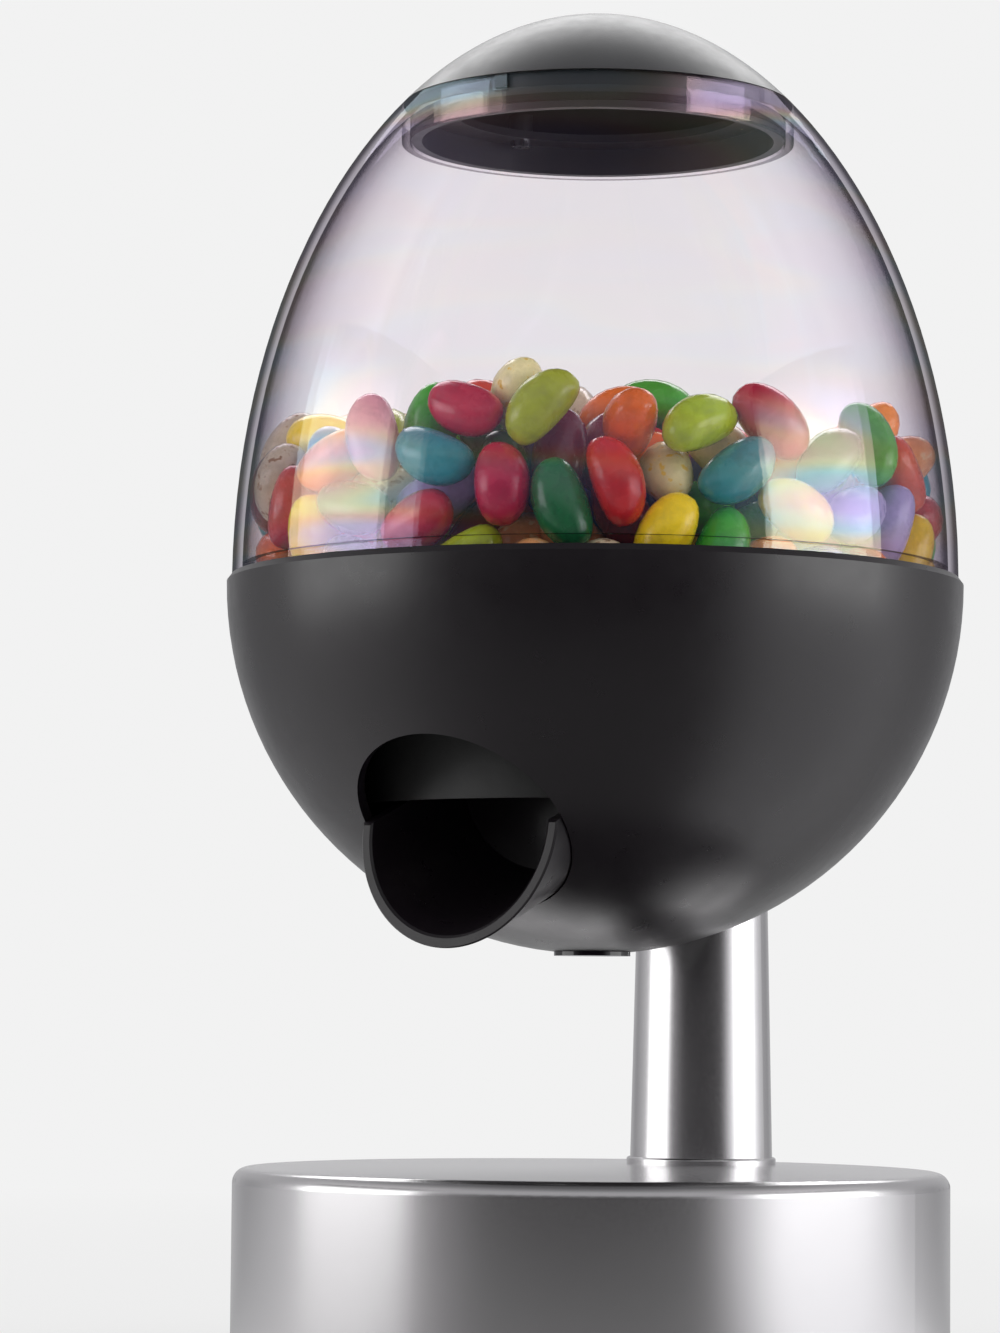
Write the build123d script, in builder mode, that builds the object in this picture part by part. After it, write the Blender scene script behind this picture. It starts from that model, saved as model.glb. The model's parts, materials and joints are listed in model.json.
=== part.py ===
from build123d import *
from math import acos, atan, cos, pi, radians, sin, sqrt, tan
import os
import numpy as np

# Touch-free countertop candy dispenser: a clear dome of candy on a black bowl that holds a motor-driven
# portion wheel, carried by an off-centre metal column on a drum that holds the batteries.
# Millimetres, +Z up. The origin is at the centre of the footprint, on the surface it stands on.
# The outlet faces -Y and the column stands at +Y. Heights inside the egg are measured from its seam,
# the level where the bowl meets the dome.

os.makedirs("parts", exist_ok=True)

# Clearances
running_gap = 0.4
seat_gap = 0.1
pin_gap = 0.05

# Base drum
base_radius = 70.0
base_height = 38.0
base_wall = 2.5
base_fillet = 3.0
plate_thickness = 2.5
foot_stand = 2.0
foot_radius = 6.0
foot_recess = 1.0
foot_inset = 11.0
base_screw_inset = 10.0
base_screw_angles = (20, 160, 200, 340)

# Batteries
cell_radius = 7.25
cell_length = 50.5
cell_pitch = 15.0
cell_count = 4
nub_radius = 2.75
nub_length = 1.3
contact_space = 2.6
contact_thickness = 0.5
box_wall = 1.6
door_thickness = 2.2
door_ear_width = 14.0
door_ear_reach = 8.0

# Column
stem_offset = 45.7
stem_foot_radius = 14.5
stem_top_radius = 13.6
stem_wall = 1.6
stem_bead_height = 1.4
stem_bead_width = 0.7
foot_plug_height = 12.0
foot_screw_radius = 8.0
top_plug_height = 9.0
nipple_radius = 5.0
nipple_bore = 3.4
nut_height = 4.0
nut_radius = 8.2
washer_thickness = 1.0

# Egg
egg_gap = 42.0
bowl_radius = 72.5
bowl_wall = 2.5
lip_rise = 1.2
lip_bevel = 0.9
dome_step = 0.1
dome_rise = 113.5
dome_wall = 2.0
spigot_wall = 1.6
lid_edge = 95.2
lid_wall = 2.2
neck_wall = 1.6
neck_depth = 7.2
plug_depth = 6.8
plug_wall = 2.0
lug_width = 2.6
lug_height = 2.6
lug_reach = 1.0
gasket_height = 1.6

# Hopper
flange_top = -7.6
flange_thickness = 2.4
flange_inner = bowl_radius - 9.5
ledge_width = 5.5
funnel_wall = 2.0
well_radius = 36.5
well_top = -20.0
deck_top = -31.5
funnel_screw_radius = bowl_radius - 6.2
pocket_ring = 27.0
pocket_radius = 8.5
pocket_count = 6
drop_radius = 8.8
wheel_rim_gap = 0.5
candy_gap = 0.4

# Jelly beans
bean_length = 16.8
bean_width = 10.6
bean_gap = 0.3
bean_count = 335

# Drive
gear_module = 0.8
pressure_angle = 20.0
gear_backlash = 0.28
wheel_addendum = 0.48
pinion_addendum = 0.64
gear_dedendum = 0.86
mesh_gap = 0.1
output_teeth = 36
small_idler_teeth = 12
big_idler_teeth = 60
pinion_teeth = 12
gear_face = 4.2
drive_angle = 45.0
rotor_shaft_radius = 2.5
idler_pin_radius = 1.5
motor_radius = 9.0
motor_length = 14.5
motor_shaft_radius = 1.0
motor_plate_thickness = 1.2
motor_ear_spread = 14.5
cover_thickness = 2.0

# Outlet
rim_front = bowl_radius - 21.5
trough_centre = 23.0 - bowl_radius
trough_radius = 21.3
trough_wall = 2.2
trough_arm = 0.9
trough_slope = 20.0
trough_lip = 4.5
trough_edge = 0.4
trough_hole_gap = 0.3
hood_edge = -44.0
hood_top = -28.0
hood_radius = 47.0
hood_wall = 1.4
hood_half_width = 18.7
hood_sweep = 80.0

# Electronics
board_thickness = 1.6
main_board_width = 36.0
main_board_height = 15.0
sensor_board_radius = 14.0
sensor_board_level = 9.5 - bowl_radius
led_radius = 1.5
led_spacing = 8.0
window_radius = 7.5
window_stand = 0.4
window_flange = 1.2
power_board_level = 18.0
wire_radius = 0.6
wire_spacing = 1.8
switch_travel = 4.0

# Screws: head radius, head height, shank radius
small_screw = (1.9, 1.3, 1.0)
large_screw = (2.8, 1.8, 1.5)
sunk_head_height = 0.9
short_screw = 5.0
board_screw = 6.0
cover_screw = 7.0
shield_screw = 8.0
funnel_screw = 9.0
hood_screw = 3.1
lid_screw = 3.8

# Levels and radii that follow
plate_bottom = foot_stand
plate_top = plate_bottom + plate_thickness
base_top = foot_stand + base_height
base_roof = base_top - base_wall
base_inner = base_radius - base_wall
foot_place_radius = base_radius - foot_inset
base_screw_radius = base_radius - base_screw_inset
seam = base_top + egg_gap + bowl_radius
bowl_inner = bowl_radius - bowl_wall
lip_radius = bowl_radius - lip_bevel
dome_radius = lip_radius - dome_step
dome_inner = dome_radius - dome_wall
dome_inner_rise = dome_rise - dome_wall
flange_bottom = flange_top - flange_thickness
deck_bottom = deck_top - funnel_wall
well_outer = well_radius + funnel_wall
ground_side = Plane.XZ


def side_at(angle):
    """The side profile's plane turned about the dispenser's axis."""
    along = (cos(radians(angle)), sin(radians(angle)), 0)
    return Plane(origin=(0, 0, seam), x_dir=along, z_dir=(along[1], -along[0], 0))


side = side_at(0)


def level(height):
    """The horizontal plane at a height measured from the seam."""
    return Plane.XY.offset(seam + height)


def ellipse_radius(half_width, rise, height):
    """Radius of the upper half of the egg at a height above the seam."""
    return half_width * sqrt(1 - (height / rise) ** 2)


def sphere_depth(radius, reach):
    """How far a sphere's underside lies below its centre at a distance from its axis."""
    return sqrt(radius**2 - reach**2)


def ring(inner, outer, low, high, mode=Mode.ADD):
    """A rectangle in a side profile that revolves into a ring."""
    with Locations(((inner + outer) / 2, (low + high) / 2)):
        Rectangle(outer - inner, high - low, mode=mode)


def around(radius, angles, height):
    """Places on a circle about the dispenser's axis."""
    return [(radius * cos(radians(a)), radius * sin(radians(a)), height) for a in angles]


def upward(places):
    return [Plane(origin=place, z_dir=(0, 0, 1)) for place in places]


def downward(places):
    return [Plane(origin=place, x_dir=(1, 0, 0), z_dir=(0, 0, -1)) for place in places]


def drill(seats, radius, reach, back=0.0):
    """Round holes along each seat's direction, from behind the seat to its reach."""
    with Locations(*seats):
        with Locations((0, 0, -back)):
            Cylinder(
                radius, reach + back, align=(Align.CENTER, Align.CENTER, Align.MIN), mode=Mode.SUBTRACT
            )


def post(seats, radius, length):
    """Round posts that start at each seat and run along its direction."""
    with Locations(*seats):
        Cylinder(radius, length, align=(Align.CENTER, Align.CENTER, Align.MIN))


def screws(seats, screw, length):
    """Pan-head screws whose heads sit on the seats and whose shanks run along the seats' direction."""
    head_radius, head_height, shank_radius = screw
    with Locations(*seats):
        Cylinder(shank_radius, length, align=(Align.CENTER, Align.CENTER, Align.MIN))
        Cylinder(head_radius, head_height, align=(Align.CENTER, Align.CENTER, Align.MAX))
    with Locations(*seats):
        with Locations((0, 0, -head_height)):
            Box(head_radius * 1.3, shank_radius * 0.4, head_height, mode=Mode.SUBTRACT)
            Box(shank_radius * 0.4, head_radius * 1.3, head_height, mode=Mode.SUBTRACT)


def save(piece, name):
    piece.part.label = name
    export_step(piece.part, f"parts/{name}.step")


# Base shell

foot_angles = (45, 135, 225, 315)
foot_screw_angles = (30, 150, 270)
stem_place = (0, stem_offset)
large_head, large_head_height, large_shank = large_screw
small_head, small_head_height, small_shank = small_screw
boss_radius = 4.0
door_boss_radius = 3.2
board_front = stem_offset - 9.7
board_rear = base_inner - 5.5
switch_level = power_board_level + board_thickness + 3.2
switch_slot_height = 4.0
slider_width = 3.2
switch_slot_width = switch_travel + slider_width + 2 * running_gap
slider_rear = base_radius + 1.3


def stem_seats(radius, angles, height):
    """Places on a circle about the column's axis."""
    return [(x, y + stem_offset, z) for x, y, z in around(radius, angles, height)]


base_screw_floor = around(base_screw_radius, base_screw_angles, plate_bottom)
base_boss_floor = around(base_screw_radius, base_screw_angles, plate_top)
column_screw_floor = stem_seats(foot_screw_radius, foot_screw_angles, base_roof)
base_screw_reach = 11.0

with BuildPart() as base_shell:
    with BuildSketch(ground_side):
        ring(0, base_radius, plate_bottom, base_top)
        ring(0, base_inner, plate_bottom, base_roof, mode=Mode.SUBTRACT)
    revolve(axis=Axis.Z)
    fillet(base_shell.edges().filter_by(GeomType.CIRCLE).sort_by(Axis.Z)[-1], base_fillet)
    post(upward(base_boss_floor), boss_radius, base_roof - plate_top)
    drill(upward(base_boss_floor), large_shank + pin_gap, base_screw_reach + 1)
    drill(upward([(0, stem_offset, base_roof)]), nipple_bore, base_wall, back=1)
    drill(upward(column_screw_floor), large_shank + pin_gap, base_wall)
    with Locations((0, base_radius, switch_level)):
        Box(switch_slot_width, 4 * base_wall, switch_slot_height, mode=Mode.SUBTRACT)
save(base_shell, "base_shell")

# Base plate with the battery opening

opening_length = cell_length + 2 * contact_space
opening_width = cell_count * cell_pitch + 1.0
ear_screw_place = opening_width / 2 + door_ear_reach / 2
door_screw_place = -ear_screw_place - 1.0
door_boss_height = 6.0
power_board_width = 32.0
power_post_inset = 3.0
power_post_side = power_board_width / 2 - power_post_inset
power_posts = [
    (x, y)
    for x in (-power_post_side, power_post_side)
    for y in (board_front + power_post_inset, board_rear - 3 * power_post_inset)
]
power_post_radius = 2.5

with BuildPart() as base_plate:
    with BuildSketch(Plane.XY.offset(plate_bottom)):
        Circle(base_inner - seat_gap)
        Rectangle(opening_length, opening_width, mode=Mode.SUBTRACT)
    extrude(amount=plate_thickness)
    with Locations((0, -ear_screw_place, plate_bottom)):
        Box(
            door_ear_width + 2 * running_gap,
            door_ear_reach + 2 * running_gap,
            2 * (door_thickness / 2 + seat_gap),
            mode=Mode.SUBTRACT,
        )
    post(upward([(0, door_screw_place, plate_top)]), door_boss_radius, door_boss_height)
    power_post_floor = [(x, y, plate_top) for x, y in power_posts]
    post(upward(power_post_floor), power_post_radius, power_board_level - plate_top)
    power_post_holes = [(x, y, power_board_level - board_screw) for x, y in power_posts]
    drill(upward(power_post_holes), small_shank + pin_gap, board_screw)
    drill(upward([(0, door_screw_place, plate_bottom)]), large_shank + pin_gap, door_boss_height + 1)
    drill(upward(base_screw_floor), large_shank + pin_gap, plate_thickness)
    drill(upward(base_screw_floor), large_head + 0.3, large_head_height / 2)
    drill(upward(around(foot_place_radius, foot_angles, plate_bottom)), foot_radius + pin_gap, foot_recess)
save(base_plate, "base_plate")

with BuildPart() as rubber_feet:
    post(upward(around(foot_place_radius, foot_angles, 0)), foot_radius, foot_stand + foot_recess)
    fillet(rubber_feet.edges().group_by(Axis.Z)[0], 0.6)
save(rubber_feet, "rubber_feet")

with BuildPart() as base_screws:
    base_screw_seats = around(base_screw_radius, base_screw_angles, plate_bottom + large_head_height / 2)
    screws(upward(base_screw_seats), large_screw, base_screw_reach)
save(base_screws, "base_screws")

# Battery box, cells and contacts

cell_bottom = plate_bottom + door_thickness + 2 * running_gap
cell_level = cell_bottom + cell_radius
box_roof = cell_level + cell_radius + running_gap
cell_rows = [(row - (cell_count - 1) / 2) * cell_pitch for row in range(cell_count)]

rib_length = opening_length * 0.6
rib_thickness = 0.8
rib_depth = 3.0

with BuildPart() as battery_box:
    with BuildSketch(Plane.XY.offset(plate_top)):
        Rectangle(opening_length + 2 * box_wall, opening_width + 2 * box_wall)
        Rectangle(opening_length, opening_width, mode=Mode.SUBTRACT)
    extrude(amount=box_roof - plate_top)
    with BuildSketch(Plane.XY.offset(box_roof)):
        Rectangle(opening_length + 2 * box_wall, opening_width + 2 * box_wall)
    extrude(amount=box_wall)
    with Locations(*[(0, (a + b) / 2, box_roof) for a, b in zip(cell_rows, cell_rows[1:])]):
        Box(rib_length, rib_thickness, rib_depth, align=(Align.CENTER, Align.CENTER, Align.MAX))
save(battery_box, "battery_box")

with BuildPart() as battery_cells:
    for index, row in enumerate(cell_rows):
        facing = 1 if index % 2 else -1
        body_length = cell_length - nub_length
        with Locations(Plane(origin=(-facing * cell_length / 2, row, cell_level), z_dir=(facing, 0, 0))):
            Cylinder(cell_radius, body_length, align=(Align.CENTER, Align.CENTER, Align.MIN))
            Cylinder(nub_radius, cell_length, align=(Align.CENTER, Align.CENTER, Align.MIN))
    round_edges = battery_cells.edges().filter_by(GeomType.CIRCLE)
    fillet(round_edges.filter_by(lambda edge: edge.radius > nub_radius + 1), 0.5)
save(battery_cells, "battery_cells")

contact_side = 9.0
tip_radius = 2.2
tip_foot_radius = 3.6

with BuildPart() as battery_contacts:
    for end in (-1, 1):
        for row in cell_rows:
            wall_place = end * (opening_length / 2 - contact_thickness / 2)
            bump = contact_space - contact_thickness - pin_gap
            with Locations((wall_place, row, cell_level)):
                Box(contact_thickness, contact_side, contact_side)
            tip = Plane(origin=(end * (cell_length / 2 + pin_gap), row, cell_level), z_dir=(end, 0, 0))
            with Locations(tip):
                Cone(tip_radius, tip_foot_radius, bump, align=(Align.CENTER, Align.CENTER, Align.MIN))
save(battery_contacts, "battery_contacts")

grip_count = 4
grip_inset = 8.0
grip_pitch = 2.2
grip_length = 18.0
grip_width = 1.0
grip_depth = 0.4
grip_rear = opening_width / 2 - grip_inset
grip_places = [(0, grip_rear - grip_pitch * n, plate_bottom) for n in range(grip_count)]

with BuildPart() as battery_door:
    with BuildSketch(Plane.XY.offset(plate_bottom)):
        Rectangle(opening_length - 2 * running_gap, opening_width - 2 * running_gap)
    extrude(amount=door_thickness)
    with Locations((0, -ear_screw_place + running_gap, plate_bottom)):
        Box(
            door_ear_width,
            door_ear_reach + 2 * running_gap,
            door_thickness / 2,
            align=(Align.CENTER, Align.CENTER, Align.MIN),
        )
    drill(upward([(0, door_screw_place, plate_bottom)]), large_shank + pin_gap, door_thickness)
    with Locations(*grip_places):
        Box(grip_length, grip_width, 2 * grip_depth, mode=Mode.SUBTRACT)
save(battery_door, "battery_door")

with BuildPart() as door_screw:
    screws(upward([(0, door_screw_place, plate_bottom)]), (large_head, 1.2, large_shank), door_boss_height)
save(door_screw, "door_screw")

# Power board and switch in the rear of the base

connector_width = 9.0
connector_depth = 7.4
connector_height = 6.0
board_top = power_board_level + board_thickness
board_middle = (board_front + board_rear) / 2
slider_half_height = 1.5
switch_wall = 2.0
switch_width = 14.0
switch_height = 6.4
switch_rear = board_rear + switch_wall
slider_front = board_rear - switch_wall
switch_front = slider_front - switch_wall
switch_depth = switch_rear - switch_front

with BuildPart() as power_board:
    with Locations((0, board_middle, power_board_level)):
        Box(
            power_board_width,
            board_rear - board_front,
            board_thickness,
            align=(Align.CENTER, Align.CENTER, Align.MIN),
        )
    power_board_holes = [(x, y, power_board_level) for x, y in power_posts]
    drill(upward(power_board_holes), small_shank + pin_gap, board_thickness)
save(power_board, "power_board")

with BuildPart() as power_board_screws:
    screws(downward([(x, y, board_top) for x, y in power_posts]), small_screw, board_screw)
save(power_board_screws, "power_board_screws")

with BuildPart() as switch_body:
    with Locations((0, switch_front, board_top)):
        Box(switch_width, switch_depth, switch_height, align=(Align.CENTER, Align.MIN, Align.MIN))
    with Locations((0, slider_front - running_gap, switch_level)):
        Box(
            switch_slot_width,
            2 * switch_depth,
            2 * (slider_half_height + running_gap),
            align=(Align.CENTER, Align.MIN, Align.CENTER),
            mode=Mode.SUBTRACT,
        )
save(switch_body, "switch_body")

with BuildPart() as switch_slider:
    with Locations((-switch_travel / 2, slider_front, switch_level)):
        Box(
            slider_width,
            slider_rear - slider_front,
            2 * slider_half_height,
            align=(Align.CENTER, Align.MIN, Align.CENTER),
        )
    fillet(switch_slider.edges().filter_by(Axis.Z).sort_by(Axis.Y)[-2:], 0.5)
save(switch_slider, "switch_slider")

# Column between base and bowl

stem_slope = (stem_foot_radius - stem_top_radius) / egg_gap


def stem_radius(height):
    """Outer radius of the column at a height above the base."""
    return stem_foot_radius - stem_slope * height


boss_top = 29.5 - bowl_radius
stem_reach = seam + boss_top - base_top
stem_side = Plane(origin=(0, stem_offset, base_top), x_dir=(1, 0, 0), z_dir=(0, -1, 0))
stem_axis = Axis((0, stem_offset, 0), (0, 0, 1))
top_plug_low = egg_gap - 2.5


def stem_slug(low, high, gap):
    """A tapered slug that fills the column's bore between two heights above the base."""
    with BuildSketch(stem_side) as slug:
        Polygon(
            (0, low),
            (stem_radius(low) - stem_wall - gap, low),
            (stem_radius(high) - stem_wall - gap, high),
            (0, high),
        )
    revolve(slug.sketch, axis=stem_axis)


with BuildPart() as stem:
    with BuildSketch(stem_side):
        Polygon(
            (stem_radius(0) - stem_wall, 0),
            (stem_radius(0), 0),
            (stem_radius(stem_reach), stem_reach),
            (stem_radius(stem_reach) - stem_wall, stem_reach),
        )
    revolve(axis=stem_axis)
    with Locations((0, 0, seam)):
        Sphere(bowl_radius + pin_gap, mode=Mode.SUBTRACT)
save(stem, "stem")

with BuildPart() as stem_bead:
    with BuildSketch(stem_side):
        ring(stem_foot_radius + pin_gap, stem_foot_radius + stem_bead_width, 0, stem_bead_height)
    revolve(axis=stem_axis)
    fillet(stem_bead.edges().filter_by(GeomType.CIRCLE).group_by(Axis.Z)[-1].sort_by(SortBy.LENGTH)[-1], 0.5)
save(stem_bead, "stem_bead")

with BuildPart() as stem_foot_plug:
    stem_slug(0, foot_plug_height, pin_gap)
    drill(upward([(0, stem_offset, base_top)]), nipple_bore, foot_plug_height)
    drill(upward(stem_seats(foot_screw_radius, foot_screw_angles, base_top)), large_shank + pin_gap, 9)
save(stem_foot_plug, "stem_foot_plug")

with BuildPart() as stem_foot_screws:
    screws(upward(column_screw_floor), large_screw, base_wall + 8)
save(stem_foot_screws, "stem_foot_screws")

with BuildPart() as stem_top_plug:
    stem_slug(top_plug_low, top_plug_low + top_plug_height, pin_gap)
    drill(upward([(0, stem_offset, base_top + top_plug_low)]), nipple_radius + pin_gap, top_plug_height)
save(stem_top_plug, "stem_top_plug")

nipple_top = boss_top + washer_thickness + nut_height + 0.8
nipple_low = base_top + top_plug_low
with BuildPart() as stem_nipple:
    post(upward([(0, stem_offset, nipple_low)]), nipple_radius, seam + nipple_top - nipple_low)
    drill(upward([(0, stem_offset, nipple_low)]), nipple_bore, seam + nipple_top - nipple_low)
save(stem_nipple, "stem_nipple")

with BuildPart() as stem_washer:
    post(upward([(0, stem_offset, seam + boss_top)]), nut_radius, washer_thickness)
    drill(upward([(0, stem_offset, seam + boss_top)]), nipple_radius + pin_gap, washer_thickness)
save(stem_washer, "stem_washer")

with BuildPart() as stem_nut:
    with BuildSketch(level(boss_top + washer_thickness)):
        with Locations(stem_place):
            RegularPolygon(nut_radius, 6)
            Circle(nipple_radius + pin_gap, mode=Mode.SUBTRACT)
    extrude(amount=nut_height)
save(stem_nut, "stem_nut")

# Bowl shell

funnel_screw_angles = (45, 135, 225, 315)
funnel_boss_radius = 2.6
funnel_boss_length = 11.0
stem_boss_radius = 9.4
sensor_post_angles = (90, 210, 330)
sensor_post_ring = sensor_board_radius - 2.7
slope_run = cos(radians(trough_slope))
slope_rise = sin(radians(trough_slope))
inward = (0, slope_run, slope_rise)
outward = (0, -slope_run, -slope_rise)
lip_front = rim_front + trough_lip
lip_drop = trough_lip * slope_rise / slope_run
rim_height = trough_arm + lip_drop + trough_radius
rim_plane = Plane(origin=(0, -rim_front, seam + trough_centre), x_dir=(1, 0, 0), z_dir=(0, -1, 0))
lip_plane = Plane(origin=(0, -lip_front, seam + trough_centre - lip_drop), x_dir=(1, 0, 0), z_dir=(0, -1, 0))
rim_cut = Plane(
    origin=(0, -rim_front, seam + trough_centre + trough_arm),
    x_dir=(1, 0, 0),
    z_dir=(0, -rim_height, trough_lip),
)

with BuildPart() as bowl_shell:
    with BuildSketch(side):
        Circle(bowl_radius)
        Circle(bowl_inner, mode=Mode.SUBTRACT)
        ring(0, bowl_radius, -bowl_radius, 0, mode=Mode.INTERSECT)
        Polygon((bowl_inner, 0), (bowl_radius, 0), (lip_radius, lip_rise), (bowl_inner, lip_rise))
        ring(bowl_inner - ledge_width, bowl_inner + 0.2, flange_bottom - funnel_wall, flange_bottom)
    revolve(axis=Axis.Z)
    boss_low = seam + flange_bottom - funnel_boss_length
    funnel_bosses = around(funnel_screw_radius, funnel_screw_angles, boss_low)
    post(upward(funnel_bosses), funnel_boss_radius, funnel_boss_length)
    stem_floor = seam - sphere_depth(bowl_radius - bowl_wall / 2, stem_offset - stem_boss_radius)
    post(upward([(0, stem_offset, stem_floor)]), stem_boss_radius, seam + boss_top - stem_floor)
    post(
        upward(around(sensor_post_ring, sensor_post_angles, seam - bowl_inner)),
        2.0,
        bowl_inner + sensor_board_level,
    )
    with BuildSketch(rim_plane):
        Circle(trough_radius + trough_hole_gap)
    extrude(amount=(bowl_radius - rim_front) / slope_run + 6, dir=outward, mode=Mode.SUBTRACT)
    with BuildSketch(rim_plane):
        Circle(trough_radius + trough_hole_gap)
    extrude(amount=26 / slope_run, dir=inward, mode=Mode.SUBTRACT)
    drill(upward(around(funnel_screw_radius, funnel_screw_angles, boss_low + 2)), small_shank + pin_gap, 20)
    drill(upward([(0, stem_offset, seam - bowl_radius)]), nipple_radius + pin_gap, bowl_radius)
    drill(
        upward(around(sensor_post_ring, sensor_post_angles, seam + sensor_board_level - 5)),
        small_shank + pin_gap,
        6,
    )
    drill(upward([(0, 0, seam - bowl_radius)]), window_radius + seat_gap, 4, back=1)
save(bowl_shell, "bowl_shell")

# Sensor under the bowl

window_top = -sphere_depth(bowl_inner, window_radius + window_flange) + seat_gap + window_flange
led_places = [(x, 0, seam + sensor_board_level) for x in (-led_spacing / 2, led_spacing / 2)]
led_length = sensor_board_level - window_top - running_gap

with BuildPart() as sensor_window:
    with BuildSketch(side):
        ring(0, window_radius, -bowl_radius - window_stand, window_top)
        ring(0, window_radius + window_flange, window_top - window_flange, window_top)
    revolve(axis=Axis.Z)
save(sensor_window, "sensor_window")

with BuildPart() as sensor_board:
    with BuildSketch(level(sensor_board_level)):
        Circle(sensor_board_radius)
        with PolarLocations(sensor_post_ring, len(sensor_post_angles), start_angle=sensor_post_angles[0]):
            Circle(small_shank + pin_gap, mode=Mode.SUBTRACT)
    extrude(amount=board_thickness)
save(sensor_board, "sensor_board")

sensor_board_top = seam + sensor_board_level + board_thickness
with BuildPart() as sensor_board_screws:
    sensor_screw_seats = around(sensor_post_ring, sensor_post_angles, sensor_board_top)
    screws(downward(sensor_screw_seats), small_screw, short_screw)
save(sensor_board_screws, "sensor_board_screws")

for name, place in zip(("ir_emitter", "ir_receiver"), led_places):
    with BuildPart() as led:
        post(downward([place]), led_radius, led_length)
        fillet(led.edges().group_by(Axis.Z)[0], led_radius * 0.9)
        post(downward([place]), led_radius + 0.3, 1.0)
    save(led, name)

# Hopper funnel with the portion wheel's well

cone_slope = (flange_top - well_top) / (flange_inner - well_radius)
wall_drop = funnel_wall / cos(atan(cone_slope))


def cone_height(radius):
    """Height of the funnel's upper surface at a radius."""
    return well_top + cone_slope * (radius - well_radius)


def drive_place(distance, sideways=0.0):
    """A place on the line of gears, and beside it."""
    along = (cos(radians(drive_angle)), sin(radians(drive_angle)))
    return (
        distance * along[0] - sideways * along[1],
        distance * along[1] + sideways * along[0],
    )


funnel_screw_seats = around(funnel_screw_radius, funnel_screw_angles, seam + flange_top - 1.0)
bush_radius = 4.5
bush_flange = 0.8
upper_gear_top = deck_bottom - bush_flange - running_gap
upper_gear_bottom = upper_gear_top - gear_face
lower_gear_top = upper_gear_bottom - 0.5
lower_gear_bottom = lower_gear_top - gear_face
cover_top = lower_gear_bottom - 0.5
idler_distance = gear_module * (output_teeth + small_idler_teeth) / 2 + mesh_gap
motor_distance = idler_distance + gear_module * (big_idler_teeth + pinion_teeth) / 2 + mesh_gap
big_idler_tip = gear_module * big_idler_teeth / 2 + wheel_addendum
cover_post_spread = big_idler_tip + 4.5
cover_posts = [
    drive_place(idler_distance, cover_post_spread),
    drive_place(idler_distance, -cover_post_spread),
    (-18.0, -8.0),
]
cover_post_radius = 3.0
motor_plate_top = lower_gear_top + running_gap + motor_plate_thickness
motor_posts = [drive_place(motor_distance, spread) for spread in (-motor_ear_spread, motor_ear_spread)]
hood_screw_places = [(-13.0, -22.0), (13.0, -22.0)]
trough_ears = [(-25.0, -20.5), (25.0, -20.5)]
trough_ear_level = -37.0
board_posts = [(-14.0, -28.0), (14.0, -28.0)]
board_face = well_outer + 1.5
board_seats = [Plane(origin=(x, board_face, seam + z), z_dir=(0, -1, 0)) for x, z in board_posts]
shield_screw_places = [(-12.0, -40.0), (12.0, -40.0)]
hood_plate_bottom = deck_bottom - 1.8


def at_level(places, height):
    return [(x, y, seam + height) for x, y in places]


with BuildPart() as hopper_funnel:
    with BuildSketch(side):
        Polygon(
            (0, deck_top),
            (well_radius, deck_top),
            (well_radius, well_top),
            (flange_inner, flange_top),
            (bowl_inner - 1.4, flange_top),
            (bowl_inner - 1.4, flange_bottom),
            (flange_inner - (wall_drop - flange_thickness) / cone_slope, flange_bottom),
            (well_outer, cone_height(well_outer) - wall_drop),
            (well_outer, deck_bottom),
            (0, deck_bottom),
        )
    revolve(axis=Axis.Z)
    post(downward(at_level(cover_posts, deck_bottom)), cover_post_radius, deck_bottom - cover_top)
    motor_post_top = cone_height(motor_distance) - wall_drop / 2
    post(downward(at_level(motor_posts, motor_post_top)), 3.0, motor_post_top - motor_plate_top)
    post(downward(at_level(trough_ears, deck_bottom)), 2.8, deck_bottom - trough_ear_level)
    post(board_seats, 2.5, 5.0)
    drill(downward(at_level(cover_posts, cover_top + board_screw)), small_shank + pin_gap, board_screw)
    drill(downward(at_level(motor_posts, motor_plate_top + board_screw)), small_shank + pin_gap, board_screw)
    drill(downward(at_level(trough_ears, trough_ear_level + 4)), small_shank + pin_gap, 4)
    drill(upward(at_level(hood_screw_places, deck_bottom)), small_shank + pin_gap, 1.5)
    drill(board_seats, small_shank + pin_gap, 4)
    drill(downward(funnel_screw_seats), small_shank + pin_gap, 4, back=2)
    drill(downward(funnel_screw_seats), small_head + seat_gap, 0, back=2)
    drill(downward([(0, 0, seam + deck_top)]), bush_radius + pin_gap, funnel_wall)
    drill(downward([(0, -pocket_ring, seam + deck_top)]), drop_radius, funnel_wall)
    drill(downward(at_level(shield_screw_places, well_top)), small_shank + pin_gap, 6, back=3)
    idler_pin_seat = (*drive_place(idler_distance), seam + deck_bottom)
    drill(upward([idler_pin_seat]), idler_pin_radius + pin_gap, funnel_wall / 2)
save(hopper_funnel, "hopper_funnel")

with BuildPart() as funnel_screws:
    screws(downward(funnel_screw_seats), (small_head, sunk_head_height, small_shank), funnel_screw)
save(funnel_screws, "funnel_screws")

# Drop shield over the drop hole

shield_bottom = well_top + 0.3
shield_sweep = 84.0
shield_screw_seat = shield_bottom + 5.0
shield_start = -90 - shield_sweep / 2
shield_foot = well_radius + 11
shield_crown = shield_bottom + 8.0


def shield_profile():
    """Half section of the shield."""
    Polygon(
        (15.5, shield_bottom),
        (15.5, shield_bottom + 1.6),
        (40.0, shield_crown),
        (shield_foot, cone_height(shield_foot) + pin_gap),
        (well_radius + 1, cone_height(well_radius + 1) + pin_gap),
        (well_radius + 0.5, shield_bottom),
    )


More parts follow.
